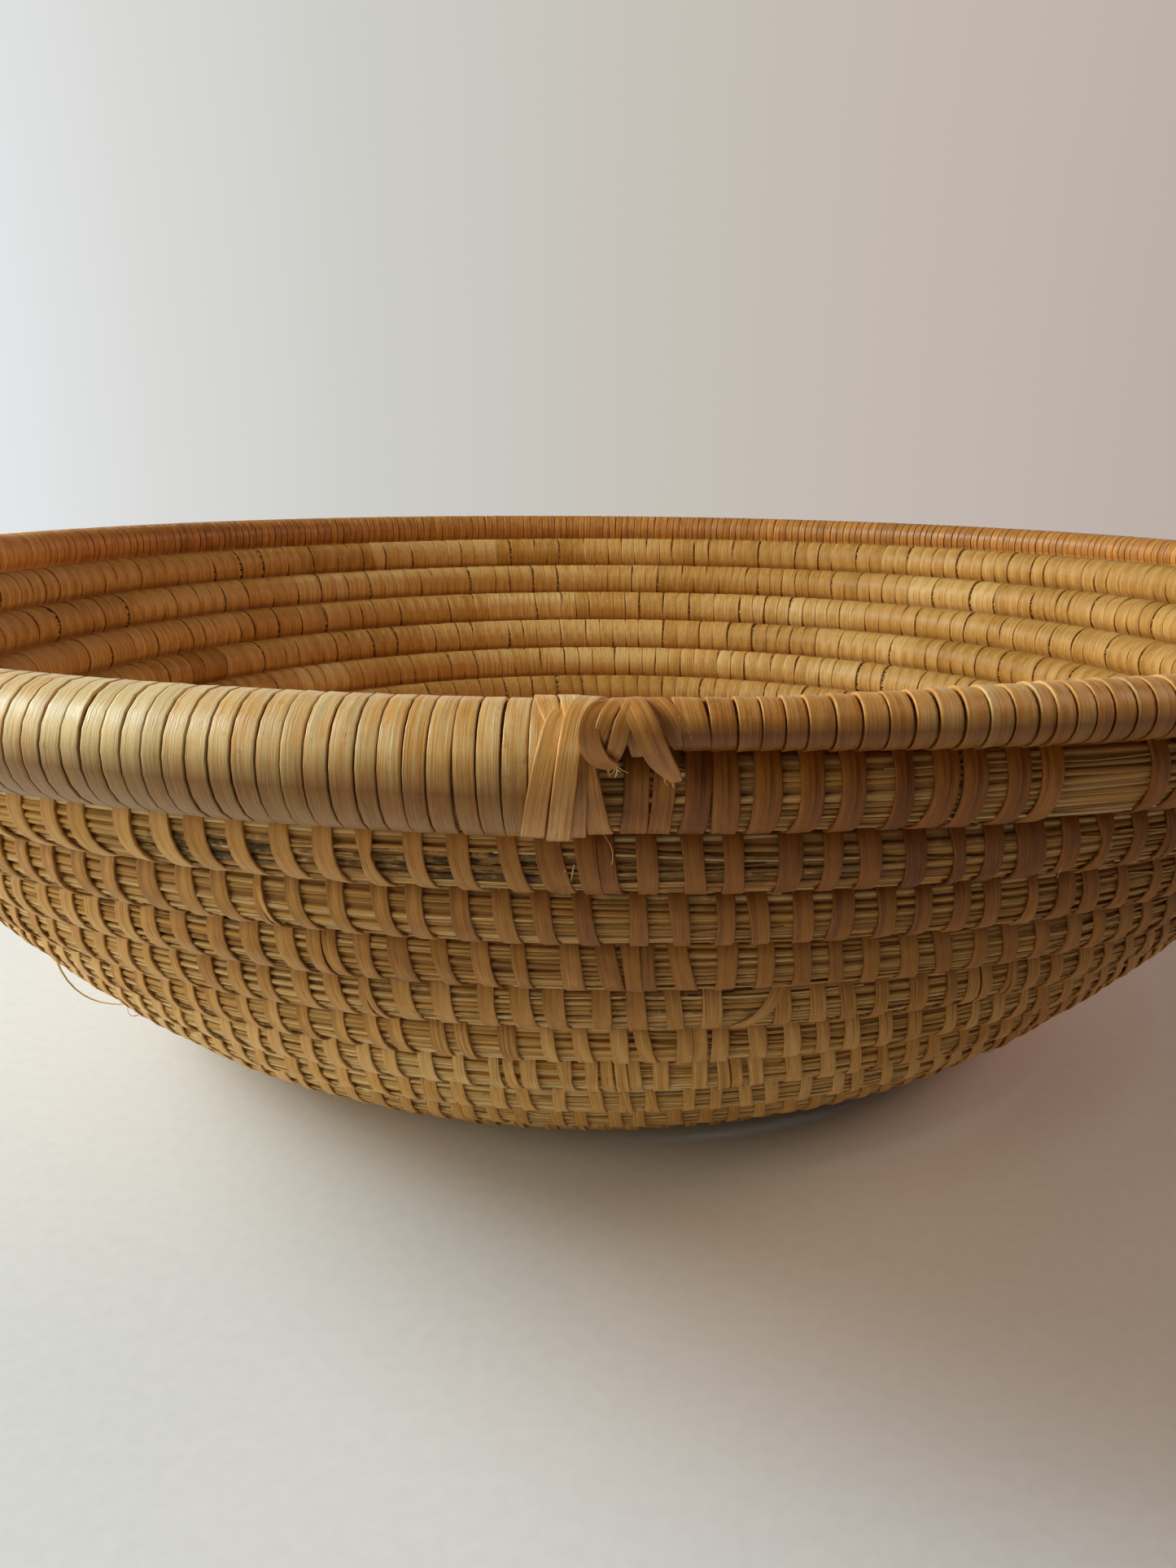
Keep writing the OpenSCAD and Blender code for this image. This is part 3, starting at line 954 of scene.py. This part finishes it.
def floor_material():
    """A pale smooth floor, a little cloudy and finely grained."""
    m = Nodes("pale_floor")
    coord = m.new("ShaderNodeTexCoord").outputs["Object"]
    cloud = m.noise(coord, 3.0, 4, 0.5)
    grain = m.noise(coord, 400.0, 2, 0.5)
    colour = m.mix("MIX", cloud, (0.845, 0.848, 0.855, 1), (0.895, 0.898, 0.905, 1))
    grains = m.ramp(grain, [(0.3, grey(0.85)), (0.7, grey(1.0))])
    m.link(m.mix("MULTIPLY", 0.25, colour, grains), m.bsdf.inputs["Base Color"])
    m.bsdf.inputs["Roughness"].default_value = 0.42
    return m.material


bpy.ops.mesh.primitive_circle_add(vertices=96, radius=1.1, fill_type="NGON", location=(0, 0, 0))
floor = bpy.context.object
floor.name = "floor"
floor.data.materials.append(floor_material())


# Every light is aimed at the middle of the bowl
AIM = (0, 0, 0.06)


def area_light(name, at, size, watts, colour):
    data = bpy.data.lights.new(name, "AREA")
    data.shape = "RECTANGLE"
    data.size, data.size_y = size
    data.energy = watts
    data.color = colour
    light = bpy.data.objects.new(name, data)
    bpy.context.scene.collection.objects.link(light)
    light.location = at
    light.rotation_mode = "QUATERNION"
    light.rotation_quaternion = (Vector(AIM) - Vector(at)).to_track_quat("-Z", "Y")


area_light("window_left", (-1.1, 0.0, 0.75), (0.4, 0.5), 16.0, (0.80, 0.94, 1.0))
area_light("window_left_low", (-1.2, 0.0, 0.22), (0.4, 0.4), 2.2, (1.0, 0.86, 0.74))
area_light("window_left_front", (-0.95, -0.75, 0.5), (0.5, 0.7), 4.4, (1.0, 0.92, 0.63))
area_light("lamp_right", (1.1, -0.1, 0.75), (0.4, 0.4), 4.2, (1.0, 0.66, 0.48))


class Room(Nodes):
    """The room's light, built with the same short ways as a material."""

    def __init__(self, name):
        world = bpy.data.worlds.new(name)
        bpy.context.scene.world = world
        world.use_nodes = True
        self.tree = world.node_tree
        self.background = self.tree.nodes["Background"]
        coord = self.new("ShaderNodeTexCoord").outputs["Generated"]
        self.x, self.y, self.z = self.split(coord)

    def fade(self, value, low, high, stops):
        return self.ramp(self.span(value, low, high, 0.0, 1.0), stops)


# Behind the basket a pale wall, cool on the left and warm on the right; the near side of
# the room and its ceiling are dim
room = Room("soft_room")
wall = room.fade(room.x, -0.5, 0.5, [
    (0.05, (0.79, 0.81, 0.83)), (0.18, (0.69, 0.69, 0.675)), (0.335, (0.61, 0.605, 0.57)),
    (0.5, (0.575, 0.55, 0.495)), (0.66, (0.555, 0.50, 0.45)), (0.81, (0.535, 0.465, 0.42)),
    (0.92, (0.50, 0.43, 0.385))])
near = room.fade(room.y, -0.1, 0.6, [(0.0, (0.08, 0.09, 0.11)), (1.0, (1.0, 1.0, 1.0))])
overhead = room.fade(room.z, 0.35, 0.65, [(0.0, (0.0, 0.0, 0.0)), (1.0, (1.0, 1.0, 1.0))])
sky = room.mix("MIX", overhead, room.mix("MULTIPLY", 1.0, wall, near), (0.02, 0.03, 0.04, 1))
room.link(sky, room.background.inputs["Color"])
room.background.inputs["Strength"].default_value = 1.0

# A phone's wide camera close to the knot, looking a little down and rolled by half a degree
CAMERA_AT = (-0.00126, -0.3062, 0.1277)
CAMERA_DOWN = 0.272
CAMERA_ROLL = 0.0093
camera_data = bpy.data.cameras.new("camera")
camera_data.sensor_width = 36.0
camera_data.lens = 27.05
camera_data.clip_start = 0.01
camera = bpy.data.objects.new("camera", camera_data)
bpy.context.scene.collection.objects.link(camera)
camera.matrix_world = (Matrix.Translation(CAMERA_AT)
                       @ Matrix.Rotation(math.pi / 2 - CAMERA_DOWN, 4, "X")
                       @ Matrix.Rotation(CAMERA_ROLL, 4, "Z"))
bpy.context.scene.camera = camera
bpy.context.scene.view_settings.view_transform = "Standard"
